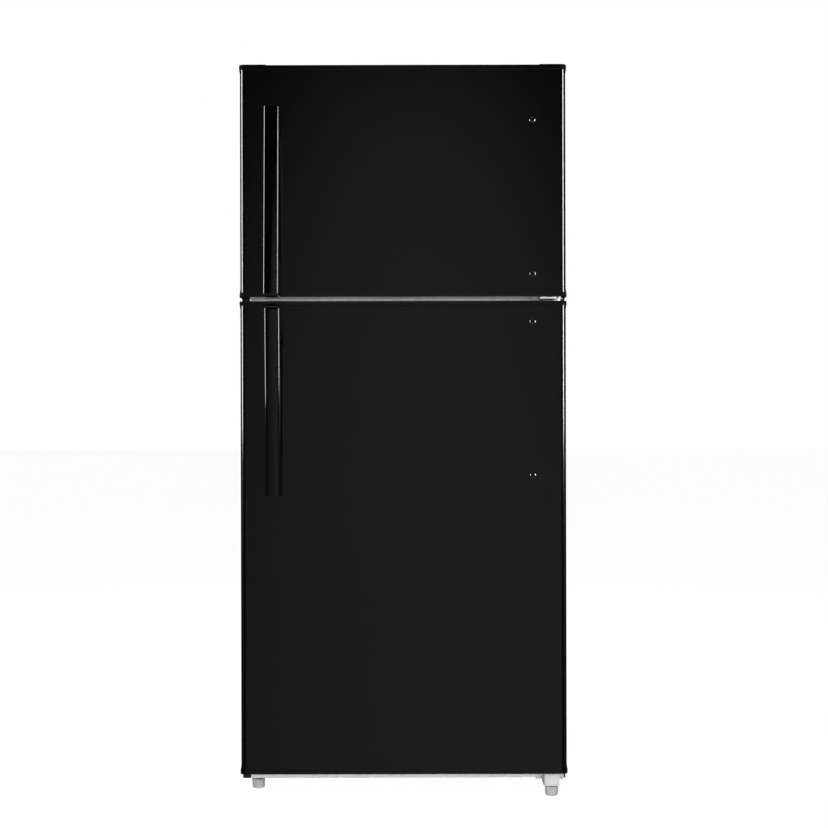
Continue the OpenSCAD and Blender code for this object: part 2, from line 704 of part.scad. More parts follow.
// Bellows seal: a foot on the door, a narrow waist, and a wide magnetic bead
module door_seal(z) color([0.2, 0.2, 0.21]) {
    x = skin_w / 2 - seal_inset;
    front = seal_space - touch;
    difference() {
        ring(x, z, seal_w, [door_back, door_back + front]);
        difference() {
            ring(x + 1, [z[0] - 1, z[1] + 1], seal_w + 2, [door_back + 3.5, door_back + 7]);
            ring(x - 3.5, [z[0] + 3.5, z[1] - 3.5], seal_w - 7, [door_back + 3, door_back + 8]);
        }
    }
}

// Tray that hangs between the ridges, open at the top
module door_bin(z, h) color([0.8, 0.86, 0.9, 0.6]) {
    y = [door_back, door_back + bin_d];
    difference() {
        slab([-ridge_in, ridge_in], y, [z, z + h]);
        slab([-ridge_in + bin_t, ridge_in - bin_t], [y[0] + bin_t, y[1] - bin_t], [z + bin_t, z + h + 1]);
        across(ridge_in + 1, [
            [y[0] - 1, z + h * 0.55], [y[0] + 34, z + h * 0.55],
            [y[0] + 60, z + h + 1], [y[0] - 1, z + h + 1]
        ]);
    }
}

// Blanking buttons where the handle's screws go when the doors are hung on the left
module door_plugs(z, way) color([0.02, 0.02, 0.02])
    for (zz = [z, z + way * screw_pitch])
        translate([plug_x, door_front, zz]) rotate([90, 0, 0]) button(7.5, 3.5);

// Stand-off of a handle's front face at distance u from its grip end, which is rounded with radius nose
tail_r = 2;

function handle_front(u, length, nose) =
    let (slope = (grip_out - far_out) / (length - nose - tail_r))
    u < nose ? grip_out - nose + sqrt(nose * nose - pow(nose - u, 2)) :
    u < length - tail_r ? grip_out - slope * (u - nose) :
    far_out - tail_r + sqrt(max(0, tail_r * tail_r - pow(u - length + tail_r, 2)));

// Points along the back of the bar, curving down to the leg that ends at u0; way is +1 or -1
function leg_fillet(u0, way, length, nose) = [for (i = [0:5])
    let (u = u0 + way * (5 + i * 7)) [u, (handle_front(u, length, nose) - grip_t) * sin(18 * i)]];

function backwards(points) = [for (i = [len(points) - 1:-1:0]) points[i]];

// Side outline of a handle: [distance from the grip end, stand-off from the door]
function handle_outline(length, grip_leg, far_leg, nose) = concat(
    [[0, 0]],
    [for (a = [0:10:90]) let (u = nose * (1 - cos(a))) [u, handle_front(u, length, nose)]],
    [for (a = [0:30:90]) let (u = length - tail_r * (1 - sin(a))) [u, handle_front(u, length, nose)]],
    [[length, 0], [length - far_leg, 0]],
    leg_fillet(length - far_leg, -1, length, nose),
    backwards(leg_fillet(grip_leg, 1, length, nose)),
    [[grip_leg, 0]]);

// Front outline, rounded at the grip end: [across, distance from the grip end]
module handle_face(length, corner) {
    w = handle_w / 2;
    for (side = [-1, 1]) {
        translate([side * (w - corner), corner]) circle(r = corner);
        translate([side * (w - 3), length - 3]) circle(r = 3);
    }
    translate([-w, corner]) square([2 * w, length - corner - 3]);
    translate([-w + corner, 0]) square([2 * (w - corner), corner + 1]);
    translate([-w + 3, length - 4]) square([2 * w - 6, 4]);
}

// A bow handle on the left of a door; z is its grip end and it runs up or down from there
module handle(x, z, way, grip_leg, far_leg, nose, corner) color([0.02, 0.02, 0.02])
    translate([-x, door_front, z]) mirror([0, 0, way < 0 ? 1 : 0]) intersection() {
        outline = handle_outline(handle_l, grip_leg, far_leg, nose);
        across(handle_w, [for (p = outline) [-p[1], p[0]]]);
        rotate([90, 0, 0]) linear_extrude(height = grip_out + 5) handle_face(handle_l, corner);
    }

freezer_z = [freezer_door_bottom, freezer_door_top];
fridge_z = [fridge_door_bottom, fridge_door_top];
freezer_ridge = [freezer_floor + 10, freezer_ceiling - 10];
fridge_ridge = [fridge_floor + 10, fridge_ceiling - 10];
freezer_seal = [divider_hi - 18, freezer_door_top - seal_inset];
fridge_seal = [sill_top - 18, divider_lo + 18];

module levelling_foot(x, y, stud_top) color([0.72, 0.72, 0.7]) {
    translate([x, y, 0]) {
        difference() {
            cylinder(r1 = foot_r - 1.5, r2 = foot_r, h = foot_h, $fn = 64);
            for (turn = [0:30:330]) rotate(turn) translate([foot_r, 0, 3]) cylinder(r = 1.6, h = foot_h);
        }
        translate([0, 0, foot_h - 1]) cylinder(r = stud_r, h = stud_top - foot_h + 1);
    }
}

// ---------------------------------------------------------------- nodes

cabinet_shell();
back_panel();
bottom_panel();
compressor_base();
insulation();
freezer_liner();
fridge_liner();
divider_rail();
bottom_rail();
top_hinge();
top_hinge_cover();
middle_hinge();
bottom_hinge();
hinge_screws();
hinge_hole_plugs();
evaporator_cover();
evaporator();
fan_motor();
freezer_shelf();
control_housing();
lamp_lens();
air_duct();
shelf_glass(upper_shelf_z);  // upper_shelf_glass
shelf_glass(middle_shelf_z);  // middle_shelf_glass
shelf_glass(crisper_glass_z);  // crisper_cover_glass
shelf_trims();
compressor();
drip_tray();
machine_cover();
cord_gland();
roller_brackets();
door_skin(freezer_z);  // freezer_door_skin
freezer_door_top_cap();
door_cap(freezer_door_bottom, 1);  // freezer_door_bottom_cap
door_foam(freezer_z);  // freezer_door_foam
door_liner(freezer_z, freezer_ridge);  // freezer_door_liner
door_seal(freezer_seal);  // freezer_door_seal
handle(freezer_handle_x, freezer_door_bottom - 4, 1, 69, 46, 9, 5);  // freezer_handle
door_plugs(freezer_screw_z, 1);  // freezer_door_plugs
door_bin(freezer_floor + 232, 92);  // freezer_upper_bin
door_bin(freezer_floor + 26, 112);  // freezer_lower_bin
door_skin(fridge_z);  // fridge_door_skin
door_cap(fridge_door_top, -1);  // fridge_door_top_cap
door_cap(fridge_door_bottom, 1);  // fridge_door_bottom_cap
door_foam(fridge_z);  // fridge_door_foam
door_liner(fridge_z, fridge_ridge);  // fridge_door_liner
door_seal(fridge_seal);  // fridge_door_seal
handle(fridge_handle_x, fridge_door_top - 9.5, -1, 54, 58, 15, 12);  // fridge_handle
door_plugs(fridge_screw_z, -1);  // fridge_door_plugs
door_bin(fridge_floor + 770, 96);  // fridge_upper_bin
door_bin(fridge_floor + 440, 110);  // fridge_middle_bin
door_bin(fridge_floor + 26, 150);  // fridge_lower_bin
crisper(-1);  // left_crisper
crisper(1);  // right_crisper
levelling_foot(-left_foot_x, left_foot_y, 62);  // left_foot
levelling_foot(right_foot_x, right_foot_y, 50);  // right_foot
roller(-1);  // left_roller
roller(1);  // right_roller
fan_blade();
temperature_knob();
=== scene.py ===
"""Looks for the top freezer refrigerator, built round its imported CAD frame.

Metres, +Z up; the doors face -Y and the origin is on the floor under the middle of the object.
"""

import json
import math

import bmesh
import bpy
from mathutils import Matrix, Vector


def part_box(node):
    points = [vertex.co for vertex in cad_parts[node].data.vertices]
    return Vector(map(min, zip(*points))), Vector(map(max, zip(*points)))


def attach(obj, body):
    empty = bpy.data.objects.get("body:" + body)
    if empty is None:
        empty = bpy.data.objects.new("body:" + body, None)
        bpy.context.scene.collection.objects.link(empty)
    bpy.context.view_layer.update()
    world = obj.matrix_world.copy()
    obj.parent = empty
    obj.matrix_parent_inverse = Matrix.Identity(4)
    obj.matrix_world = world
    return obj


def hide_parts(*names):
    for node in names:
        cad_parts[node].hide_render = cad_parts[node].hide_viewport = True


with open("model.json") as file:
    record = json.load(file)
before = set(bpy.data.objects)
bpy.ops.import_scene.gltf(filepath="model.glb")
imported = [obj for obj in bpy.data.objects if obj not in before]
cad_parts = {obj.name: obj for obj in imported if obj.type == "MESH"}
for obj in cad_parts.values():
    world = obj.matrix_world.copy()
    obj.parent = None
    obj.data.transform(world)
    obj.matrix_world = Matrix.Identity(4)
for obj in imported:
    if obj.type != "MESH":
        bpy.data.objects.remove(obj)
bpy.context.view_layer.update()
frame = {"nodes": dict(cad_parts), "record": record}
nodes = frame["nodes"]
SLOTS = {s["node"]: s["material_slot"] for s in frame["record"]["subparts"]}
BODY = {n: b for b, members in frame["record"]["behaviour"]["bodies"].items() for n in members}

DOOR_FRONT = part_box("freezer_door_skin")[0].y


# ---------------------------------------------------------------- materials

class Shader:
    """A Principled material with a small helper for its procedural nodes."""

    def __init__(self, name, colour, rough, metal=0.0, spec=0.5, **sockets):
        self.mat = bpy.data.materials.new(name)
        self.mat.use_nodes = True
        self.tree = self.mat.node_tree
        self.bsdf = self.tree.nodes["Principled BSDF"]
        self.colour = colour
        self.set("Base Color", (*colour, 1))
        self.set("Roughness", rough)
        self.set("Metallic", metal)
        self.set("Specular IOR Level", spec)
        for key, value in sockets.items():
            self.set(key.replace("_", " "), value)
        self.coords = self.add("ShaderNodeTexCoord").outputs["Object"]
        self.relief = None

    def set(self, socket, value):
        self.bsdf.inputs[socket].default_value = value

    def add(self, kind, links=None, **settings):
        node = self.tree.nodes.new(kind)
        for key, value in settings.items():
            if hasattr(node, key):
                setattr(node, key, value)
            else:
                node.inputs[key.replace("_", " ")].default_value = value
        for socket, source in (links or {}).items():
            self.tree.links.new(source, node.inputs[socket])
        return node

    def drive(self, socket, source):
        self.tree.links.new(source, self.bsdf.inputs[socket])
        return source

    def noise(self, scale, detail=3.0):
        node = self.add("ShaderNodeTexNoise", {"Vector": self.coords},
                        Scale=scale, Detail=detail, Roughness=0.55)
        return node.outputs["Fac"]

    def ramp(self, source, low, high, from_low=0.3, from_high=0.7):
        """Maps the usual range of a noise, or another range, to low .. high."""
        node = self.add("ShaderNodeMapRange", {"Value": source})
        ends = {"From Min": from_low, "From Max": from_high, "To Min": low, "To Max": high}
        for socket, value in ends.items():
            node.inputs[socket].default_value = value
        return node.outputs["Result"]

    def vary_colour(self, source, amount):
        """Mixes between a darker and a lighter shade of the base colour."""
        dark = tuple(c * (1 - amount) for c in self.colour)
        light = tuple(min(1, c * (1 + amount)) for c in self.colour)
        mix = self.add("ShaderNodeMix", {"Factor": source}, data_type="RGBA")
        mix.inputs["A"].default_value = (*dark, 1)
        mix.inputs["B"].default_value = (*light, 1)
        return self.drive("Base Color", mix.outputs["Result"])

    def vary_rough(self, source, low, high):
        self.drive("Roughness", self.ramp(source, low, high))

    def bump(self, source, distance):
        """Adds a fine relief on top of the reliefs that are already there."""
        links = {"Height": source}
        if self.relief is not None:
            links["Normal"] = self.relief
        node = self.add("ShaderNodeBump", links, Distance=distance)
        self.relief = self.drive("Normal", node.outputs["Normal"])


def enamel(name, colour, rough, peel=0.00003, spec=0.5):
    """Pre-painted steel: faint orange peel over a fine grain."""
    s = Shader(name, colour, rough, spec=spec)
    s.vary_colour(s.ramp(s.noise(3.0, 2), 0, 1), 0.12)
    s.vary_rough(s.noise(900.0, 2), rough * 0.82, rough * 1.18)
    s.bump(s.noise(260.0, 2), peel)
    s.bump(s.noise(1500.0, 2), 0.00002)
    return s.mat


def moulding(name, colour, rough, grain=900.0, depth=0.00004, spec=0.5, **sockets):
    """Moulded plastic with a fine spark-eroded grain and slightly uneven gloss."""
    s = Shader(name, colour, rough, spec=spec, **sockets)
    s.vary_colour(s.ramp(s.noise(6.0, 2), 0, 1), 0.05)
    s.vary_rough(s.noise(40.0, 4), rough * 0.85, rough * 1.2)
    s.bump(s.noise(grain, 3), depth)
    return s.mat


def cap_plastic():
    """Glossy black plastic of the end caps, dull on their rounded side ends."""
    s = Shader("cap_plastic", (0.0010, 0.0010, 0.0012), 0.15, spec=0.5)
    parts = s.add("ShaderNodeSeparateXYZ", {"Vector": s.coords})
    aside = s.add("ShaderNodeMath", {0: parts.outputs["X"]}, operation="ABSOLUTE").outputs[0]
    end_start, end_full = 0.3595, 0.3612
    s.drive("Roughness", s.ramp(aside, 0.15, 0.6, end_start, end_full))
    s.drive("Specular IOR Level", s.ramp(aside, 0.5, 0.04, end_start, end_full))
    s.vary_colour(s.ramp(s.noise(6.0, 2), 0, 1), 0.05)
    s.bump(s.noise(1100.0, 3), 0.00001)
    return s.mat


def gloss_black():
    """Polished black plastic of the handles."""
    s = Shader("gloss_black", (0.0004, 0.0004, 0.0005), 0.09, spec=0.5)
    s.vary_colour(s.ramp(s.noise(8.0, 2), 0, 1), 0.1)
    s.vary_rough(s.noise(55.0, 5), 0.07, 0.12)
    s.bump(s.noise(90.0, 2), 0.00002)
    return s.mat


def galvanised(name, colour, rough):
    """Zinc-coated sheet: a mosaic of crystals of slightly different shade and gloss."""
    s = Shader(name, colour, rough, metal=0.2)
    warped = s.add("ShaderNodeTexNoise", {"Vector": s.coords}, Scale=60.0, Detail=2.0)
    mixed = s.add("ShaderNodeMix", {"A": s.coords, "B": warped.outputs["Color"]}, data_type="VECTOR")
    mixed.inputs["Factor"].default_value = 0.004
    crystals = s.add("ShaderNodeTexVoronoi", {"Vector": mixed.outputs["Result"]}, Scale=170.0)
    grey = s.add("ShaderNodeRGBToBW", {"Color": crystals.outputs["Color"]}).outputs[0]
    s.vary_colour(grey, 0.10)
    s.vary_rough(grey, rough * 0.8, rough * 1.25)
    s.bump(s.noise(700.0, 2), 0.00002)
    return s.mat


def zinc():
    """Bright zinc plating with a cloudy gloss."""
    s = Shader("zinc_plate", (0.72, 0.73, 0.74), 0.4, metal=0.3)
    s.vary_colour(s.ramp(s.noise(35.0, 4), 0, 1), 0.08)
    s.vary_rough(s.noise(250.0, 4), 0.34, 0.5)
    s.bump(s.noise(900.0, 3), 0.00002)
    return s.mat


def clear(name, colour, rough, ior):
    """Glass or clear plastic with a slightly wavy surface."""
    s = Shader(name, colour, rough, spec=0.15, Transmission_Weight=1.0, IOR=ior)
    s.vary_rough(s.noise(30.0, 3), rough * 0.7, rough * 1.4)
    s.bump(s.noise(25.0, 2), 0.00004)
    return s.mat


def foam():
    """Cut polyurethane foam with open cells."""
    s = Shader("foam", (0.78, 0.62, 0.32), 0.9)
    s.vary_colour(s.noise(60.0, 5), 0.15)
    cells = s.add("ShaderNodeTexVoronoi", {"Vector": s.coords}, Scale=700.0)
    s.bump(cells.outputs["Distance"], 0.0002)
    return s.mat


def nylon_foot():
    """Off-white nylon with a painted contact shadow: dark grey at the top rim of the foot and on up the
    stud.
    """
    s = Shader("foot_plastic", (0.47, 0.47, 0.455), 0.5, Subsurface_Weight=0.25, Subsurface_Scale=0.004)
    shade = s.vary_colour(s.ramp(s.noise(120.0, 4), 0, 1), 0.16)
    parts = s.add("ShaderNodeSeparateXYZ", {"Vector": s.coords})
    # Painted shade: the colour turns dark grey from just below the top of the foot upwards, standing in for
    # the shadow under the rail.
    shadow_start, shadow_full = 0.0216, 0.0224
    painted_shade_near_top = s.ramp(parts.outputs["Z"], 0, 1, shadow_start, shadow_full)
    mix = s.add("ShaderNodeMix", {"Factor": painted_shade_near_top, "A": shade}, data_type="RGBA")
    mix.inputs["B"].default_value = (0.10, 0.10, 0.10, 1)
    s.drive("Base Color", mix.outputs["Result"])
    s.vary_rough(s.noise(300.0, 3), 0.4, 0.6)
    s.bump(s.noise(1200.0, 3), 0.00006)
    return s.mat


def vinyl():
    """Soft black vinyl of the door seals."""
    s = Shader("seal_rubber", (0.03, 0.03, 0.032), 0.55)
    s.vary_colour(s.ramp(s.noise(20.0, 3), 0, 1), 0.15)
    s.vary_rough(s.noise(200.0, 3), 0.45, 0.65)
    s.bump(s.noise(1500.0, 2), 0.00003)
    return s.mat


def bare_aluminium():
    """Bright fin stock of the cooling coil."""
    s = Shader("aluminium", (0.78, 0.79, 0.80), 0.35, metal=1.0)
    s.vary_colour(s.ramp(s.noise(80.0, 3), 0, 1), 0.06)
    s.vary_rough(s.noise(150.0, 3), 0.28, 0.45)
    s.bump(s.noise(800.0, 2), 0.00002)
    return s.mat


MATERIALS = {
    "black_steel": enamel("black_steel", (0.0008, 0.0008, 0.0010), 0.16, 0.00001),
    "compressor_paint": enamel("compressor_paint", (0.012, 0.012, 0.013), 0.38),
    "galvanised_steel": galvanised("galvanised_steel", (0.84, 0.85, 0.86), 0.42),
    "zinc_plate": zinc(),
    "foam": foam(),
    "white_liner": moulding("white_liner", (0.60, 0.60, 0.585), 0.32, grain=350.0, depth=0.00003),
    "white_trim": moulding("white_trim", (0.66, 0.67, 0.67), 0.25, grain=700.0, depth=0.00002),
    "lamp_lens": moulding("lamp_lens", (0.78, 0.78, 0.76), 0.3, grain=500.0, Transmission_Weight=0.4),
    "black_trim": moulding("black_trim", (0.0012, 0.0012, 0.0014), 0.15, grain=1100.0, depth=0.00002),
    "rear_cover": enamel("rear_cover", (0.05, 0.05, 0.052), 0.5),
    "aluminium": bare_aluminium(),
    "motor": moulding("motor", (0.05, 0.05, 0.055), 0.45),
    "fan_plastic": moulding("fan_plastic", (0.6, 0.6, 0.58), 0.4),
    "white_wire": moulding("white_wire", (0.50, 0.50, 0.495), 0.3, grain=500.0, depth=0.00003),
    "shelf_glass": clear("shelf_glass", (0.86, 0.95, 0.92), 0.015, 1.5),
    "clear_plastic": clear("clear_plastic", (0.90, 0.94, 0.96), 0.07, 1.45),
    "seal_rubber": vinyl(),
    "gloss_black": gloss_black(),
    "foot_plastic": nylon_foot(),
    "roller_plastic": moulding("roller_plastic", (0.025, 0.025, 0.025), 0.5),
    "knob_plastic": moulding("knob_plastic", (0.6, 0.61, 0.62), 0.3, grain=700.0),
}


CAP_PLASTIC = cap_plastic()
PLUG_PLASTIC = moulding("plug_plastic", (0.0006, 0.0006, 0.0008), 0.12, 1100.0, 0.00001, spec=1.0)
TEXTURED_STEEL = enamel("textured_black_steel", (0.011, 0.011, 0.0115), 0.42, 0.00012, 0.3)


def refinish(obj, material):
    """Changes the finish of a piece; its slot stays the same."""
    obj.data.materials.clear()
    obj.data.materials.append(material)


def paint(obj, slot):
    refinish(obj, MATERIALS[slot])


# ---------------------------------------------------------------- mesh helpers

SMOOTH_UP_TO = 35.0     # degrees between faces that are shaded as one curve
ROUND_FROM = 50.0       # degrees at which an outer corner is rounded off
FILL_FROM = 80.0        # degrees at which an inner corner is filled in


def finish_node(node, bm, smooth=SMOOTH_UP_TO):
    """Turns a bmesh into the finished piece that stands in for a CAD node, on the same body."""
    name = node + "_finish"
    bmesh.ops.recalc_face_normals(bm, faces=bm.faces)
    mesh = bpy.data.meshes.new(name)
    bm.to_mesh(mesh)
    bm.free()
    mesh.shade_smooth()
    mesh.set_sharp_from_angle(angle=math.radians(smooth))
    obj = bpy.data.objects.new(name, mesh)
    bpy.context.scene.collection.objects.link(obj)
    even = obj.modifiers.new("even_shading", "WEIGHTED_NORMAL")
    even.keep_sharp = True
    paint(obj, SLOTS[node])
    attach(obj, BODY[node])
    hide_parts(node)
    return obj


def node_bmesh(node):
    """The CAD node's mesh, welded, with its flat faces made whole."""
    bm = bmesh.new()
    bm.from_mesh(nodes[node].data)
    bmesh.ops.remove_doubles(bm, verts=bm.verts, dist=2e-6)
    bmesh.ops.dissolve_limit(bm, angle_limit=math.radians(0.3), verts=bm.verts, edges=bm.edges)
    return bm


def round_edges(bm, width, segments, angle, side, wanted=None):
    """Rounds the outer corners (side 1) or the inner ones (side -1) that turn by more than the angle."""
    limit = math.radians(angle)
    edges = []
    for e in bm.edges:
        if len(e.link_faces) != 2:
            continue
        turn = e.calc_face_angle_signed(0)
        if side * turn > limit and (wanted is None or wanted(e)):
            edges.append(e)
    if edges:
        bmesh.ops.bevel(bm, geom=edges, offset=width, offset_type="OFFSET", segments=segments,
                        profile=0.5, affect="EDGES", clamp_overlap=True)


def soften(node, width, segments=3, inside=0.0, wanted=None):
    """Replaces a CAD node by a copy with rounded edges, and with filled-in inner corners if asked."""
    bm = node_bmesh(node)
    if inside:
        round_edges(bm, inside, 6, FILL_FROM, -1, wanted)
    round_edges(bm, width, segments, ROUND_FROM, 1)
    return finish_node(node, bm)


def arc(cx, cy, r, start, stop, count):
    """Points of an arc in the plane; angles in degrees."""
    angles = [math.radians(start + (stop - start) / count * i) for i in range(count + 1)]
    return [(cx + r * math.cos(a), cy + r * math.sin(a)) for a in angles]


def loft(bm, loops):
    """Skins a list of closed loops that all have the same number of points, and closes both ends."""
    rings = [[bm.verts.new(p) for p in loop] for loop in loops]
    count = len(rings[0])
    for a, b in zip(rings, rings[1:]):
        for k in range(count):
            bm.faces.new((a[k], a[(k + 1) % count], b[(k + 1) % count], b[k]))
    bm.faces.new(rings[0])
    bm.faces.new(rings[-1])


def spot(place, axis, a, b, h):
    """The point at height h along the axis and at (a, b) across it."""
    x, y, z = place
    return {"Z": (x + a, y + b, z + h), "Y": (x + a, y + h, z + b)}[axis]


def turned(bm, profile, place, axis, steps, squash=None):
    """A solid turned from (radius, height) points that start and end on the axis."""
    rings = []
    for r, h in profile[1:-1]:
        ring = []
        for k in range(steps):
            t = 2 * math.pi * k / steps
            scale = squash(t, h) if squash else 1.0
            ring.append(spot(place, axis, r * scale * math.cos(t), r * scale * math.sin(t), h))
        rings.append([bm.verts.new(p) for p in ring])
    for a, b in zip(rings, rings[1:]):
        for k in range(steps):
            bm.faces.new((a[k], a[(k + 1) % steps], b[(k + 1) % steps], b[k]))
    for ring, (r, h) in ((rings[0], profile[0]), (rings[-1], profile[-1])):
        tip = bm.verts.new(spot(place, axis, 0, 0, h))
        for k in range(steps):
            bm.faces.new((ring[k], ring[(k + 1) % steps], tip))


for name, obj in nodes.items():
    paint(obj, SLOTS[name])
    obj.data.set_sharp_from_angle(angle=math.radians(SMOOTH_UP_TO))


# ---------------------------------------------------------------- doors

def door_skin(node):
    """Folded steel skin; its hemmed ends turn in behind the end caps and close the joint lines."""
    low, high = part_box(node)
    half = high.x
    edge_r, sheet, steps = 0.012, 0.0012, 14
    flat_margin = 0.0002     # an extra point next to each bend keeps the shading of the front even

    def plan(inset):
        r = edge_r - inset
        front, back, side = low.y + inset, high.y, half - inset
        points = [(-side, back)] + arc(-side + r, front + r, r, 180, 270, steps)
        points += [(-side + r + flat_margin, front), (side - r - flat_margin, front)]
        points += arc(side - r, front + r, r, 270, 360, steps) + [(side, back)]
        r, front, side = edge_r - sheet, low.y + sheet, half - sheet
        points += [(side, back)] + list(reversed(arc(side - r, front + r, r, 270, 360, steps)))
        points += list(reversed(arc(-side + r, front + r, r, 180, 270, steps))) + [(-side, back)]
        return points

    bm = bmesh.new()
    hem = ((-0.0004, 0.0010), (-0.0001, 0.0005), (0.0003, 0.0002), (0.0008, 0.0), (0.0010, 0.0))
    levels = [(low.z + up, inset) for up, inset in hem]
    levels += [(high.z - up, inset) for up, inset in reversed(hem)]
    loft(bm, [[(x, y, z) for x, y in plan(inset)] for z, inset in levels])
    return finish_node(node, bm, 40)


HANDLE_LENGTH = 0.433
HANDLE_HALF = 0.0175      # half of its width
HANDLE_OUT = 0.055        # stand-off from the door at the thick end
HANDLE_FAR = 0.033        # stand-off at the thin end
HANDLE_BAR = 0.015        # thickness of the bar
HANDLE_TAIL = 0.002       # rounding of the thin end, seen from the side
TAIL_CORNER = 0.003       # rounding of the thin end, seen from the front
GRIP_EDGE = 0.005         # plain stretch between a leg and the start of the opening
GRIP_RISE = 0.035         # length over which the opening reaches its full depth
EDGE_R = 0.0055           # rounding of the long front edges
BACK_R = 0.004            # rounding of the long back edges
CROWN = 0.0003            # bulge of the front across its width


def rounding(r, d):
    """How far an outline rounded with radius r has opened at distance d from its end."""
    return math.sqrt(max(0.0, r * r - (r - d) ** 2)) - r if d < r else 0.0


def handle_front(u, nose):
    """Stand-off of the bar's front at distance u from the thick end."""
    slope = (HANDLE_OUT - HANDLE_FAR) / (HANDLE_LENGTH - nose - HANDLE_TAIL)
    if u < nose:
        return HANDLE_OUT + rounding(nose, u)
    if u < HANDLE_LENGTH - HANDLE_TAIL:
        return HANDLE_OUT - slope * (u - nose)
    return HANDLE_FAR + rounding(HANDLE_TAIL, HANDLE_LENGTH - u)


def handle_back(u, nose, near, far):
    """Stand-off of the bar's back: nothing at the two legs, which flow into the bar."""
    rise = min(u - near - GRIP_EDGE, HANDLE_LENGTH - far - GRIP_EDGE - u) / GRIP_RISE
    if rise <= 0:
        return 0.0
    return (handle_front(u, nose) - HANDLE_BAR) * math.sin(math.pi / 2 * min(1.0, rise))


def handle_stations(nose, corner, near, far):
    """Where the cross-sections lie: close together at both ends and where the opening starts."""
    tail_leg = HANDLE_LENGTH - far
    us = [r * (1 - math.cos(math.radians(a))) for r in (nose, corner) for a in range(0, 91, 6)]
    us += [near - 0.004, near + 0.0049, tail_leg - 0.0049, tail_leg + 0.004]
    for i in range(15):
        us += [near + GRIP_EDGE + GRIP_RISE * i / 14, tail_leg - GRIP_EDGE - GRIP_RISE * i / 14]
    start, stop = near + GRIP_EDGE + GRIP_RISE, tail_leg - GRIP_EDGE - GRIP_RISE
    us += [start + (stop - start) * i / 12 for i in range(1, 12)]
    us += [HANDLE_LENGTH - r * (1 - math.cos(math.radians(a)))
           for r in (HANDLE_TAIL, TAIL_CORNER) for a in range(0, 91, 15)]
    us = sorted(us)
    return [u for i, u in enumerate(us) if i == 0 or u - us[i - 1] > 0.00004]


def handle_section(half, back, front):
    """Outline of the bar as (across, stand-off) points, softly crowned in front."""
    r = max(0.00003, min(EDGE_R, half * 0.9, (front - back) * 0.5))
    rb = max(0.00002, min(BACK_R, (front - back) * 0.3) * min(1.0, back / 0.008))
    flat = half - r
    edge = front - CROWN - r
    points = [(half - rb + dx, back + rb + ds) for dx, ds in arc(0, 0, rb, 270, 360, 4)]
    points += [(flat + dx, edge + ds) for dx, ds in arc(0, 0, r, 0, 90, 12)]
    for k in range(4, -5, -1):
        x = flat * k / 5
        points.append((x, front - CROWN * (x / max(flat, 1e-4)) ** 2))
    points += [(-flat + dx, edge + ds) for dx, ds in arc(0, 0, r, 90, 180, 12)]
    points += [(-half + rb + dx, back + rb + ds) for dx, ds in arc(0, 0, rb, 180, 270, 4)]
    return points


def bow_handle(node, way, nose, corner, near, far):
    """Lofted bow handle; it runs up (way 1) or down (way -1) from its thick end.

    nose and corner round the thick end, seen from the side and from the front;
    near and far are the lengths of the legs at the thick and the thin end.
    """
    low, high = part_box(node)
    middle, z0 = (low.x + high.x) / 2, low.z if way > 0 else high.z
    loops = []
    for u in handle_stations(nose, corner, near, far):
        half = HANDLE_HALF + rounding(corner, u) + rounding(TAIL_CORNER, HANDLE_LENGTH - u)
        section = handle_section(half, handle_back(u, nose, near, far), handle_front(u, nose))
        loops.append([(middle + x, DOOR_FRONT - out, z0 + way * u) for x, out in section])
    bm = bmesh.new()
    loft(bm, loops)
    bmesh.ops.remove_doubles(bm, verts=bm.verts, dist=4e-6)
    return finish_node(node, bm, 42)


def plug_domes(node):
    """Glossy domed blanking plugs, one at each end of the node's box."""
    low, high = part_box(node)
    x, r = 0.295, 0.0075
    profile = [(0, 0), (r, 0), (r, -0.0006), (0.0071, -0.0012), (0.0064, -0.0019), (0.0054, -0.0026),
               (0.0042, -0.0031), (0.0028, -0.0034), (0.0014, -0.0035), (0, -0.0035)]
    bm = bmesh.new()
    for z in (low.z + r, high.z - r):
        turned(bm, profile, (x, DOOR_FRONT, z), "Y", 48)
    return finish_node(node, bm, 40)


def bellows_seal(node):
    """Door gasket: a sheath, a folded bellows and a magnetic bead, mitred at the corners."""
    low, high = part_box(node)
    depth = 0.0117
    section = [(0.000, 0), (0.016, 0), (0.016, 0.0020), (0.0135, 0.0030), (0.0105, 0.0036), (0.0128, 0.0050),
               (0.0100, 0.0064), (0.0130, 0.0072), (0.0155, 0.0080), (0.0160, 0.0090), (0.0158, 0.0110),
               (0.0148, 0.0117), (0.0012, 0.0117), (0.0002, 0.0110), (0.0, 0.0090), (0.0005, 0.0080),
               (0.0030, 0.0072), (0.0060, 0.0064), (0.0032, 0.0050), (0.0055, 0.0036), (0.0025, 0.0030),
               (0.0, 0.0020)]
    scale = (high.y - low.y) / depth
    bm = bmesh.new()
    corners = []
    for sx, sz in ((-1, -1), (1, -1), (1, 1), (-1, 1)):
        x = high.x if sx > 0 else low.x
        z = high.z if sz > 0 else low.z
        corners.append([bm.verts.new((x - sx * d, low.y + h * scale, z - sz * d)) for d, h in section])
    count = len(section)
    for i in range(4):
        a, b = corners[i], corners[(i + 1) % 4]
        for k in range(count):
            bm.faces.new((a[k], a[(k + 1) % count], b[(k + 1) % count], b[k]))
    return finish_node(node, bm, 30)


# ---------------------------------------------------------------- feet

